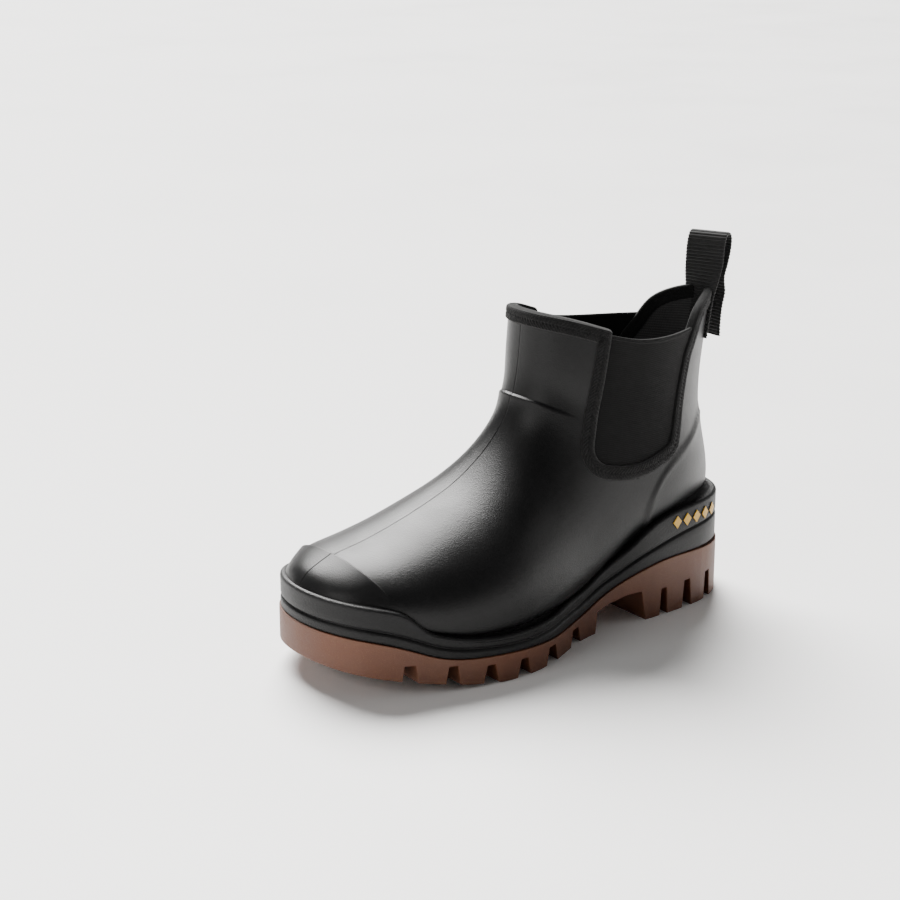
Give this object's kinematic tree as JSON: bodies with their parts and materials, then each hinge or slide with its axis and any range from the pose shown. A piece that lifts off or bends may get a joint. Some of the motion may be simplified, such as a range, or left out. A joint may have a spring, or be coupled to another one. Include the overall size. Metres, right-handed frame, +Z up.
{
  "type": "rubber rain boot",
  "caption": "Ankle-high pull-on rubber rain boot for the left foot: moulded black upper, elastic side gussets, webbing pull loop and lugged brown sole.",
  "frame": {"origin": "middle of the bounding box in plan, on the ground under the lugs", "axes": "+X to the outer side of the left foot, -Y towards the toe, +Z up"},
  "size_m": [0.125, 0.3109, 0.216],
  "materials": {
    "black_upper": "satin moulded rubber with a fine grain",
    "black_rubber": "matte moulded rubber",
    "gum_rubber": "matte brown gum rubber",
    "yellow_rubber": "matte yellow",
    "elastic": "fine ribbed elastic webbing",
    "edge_tape": "woven twill tape",
    "webbing": "cross-ribbed webbing",
    "knit_lining": "knitted lining",
    "board": "fibre board",
    "foam": "fine-celled foam",
    "insole_fabric": "brushed fabric"
  },
  "bodies": {
    "boot": {"outsole": "gum_rubber", "midsole": "black_rubber", "heel_marks": "yellow_rubber", "upper": "black_upper", "lining": "knit_lining", "gusset_outer": "elastic", "gusset_inner": "elastic", "edge_tape": "edge_tape", "footbed_board": "board", "strap_legs": "webbing", "back_seam_tape": "edge_tape"},
    "pull_loop": {"pull_loop": "webbing"},
    "insole": {"insole_foam": "foam", "insole_cover": "insole_fabric"}
  },
  "joints": [
    {"name": "pull_loop_swing", "type": "hinge", "parent": "boot", "child": "pull_loop", "pos_m": [-0.0073, 0.1397, 0.19], "axis": [0.9659, 0.2588, 0], "range_deg": [-60, 90], "stiffness_Nm_per_rad": 0.008},
    {"name": "insole_lift", "type": "hinge", "parent": "boot", "child": "insole", "pos_m": [-0.0073, -0.1433, 0.0455], "axis": [1, 0, 0], "range_deg": [0, 8]}
  ]
}
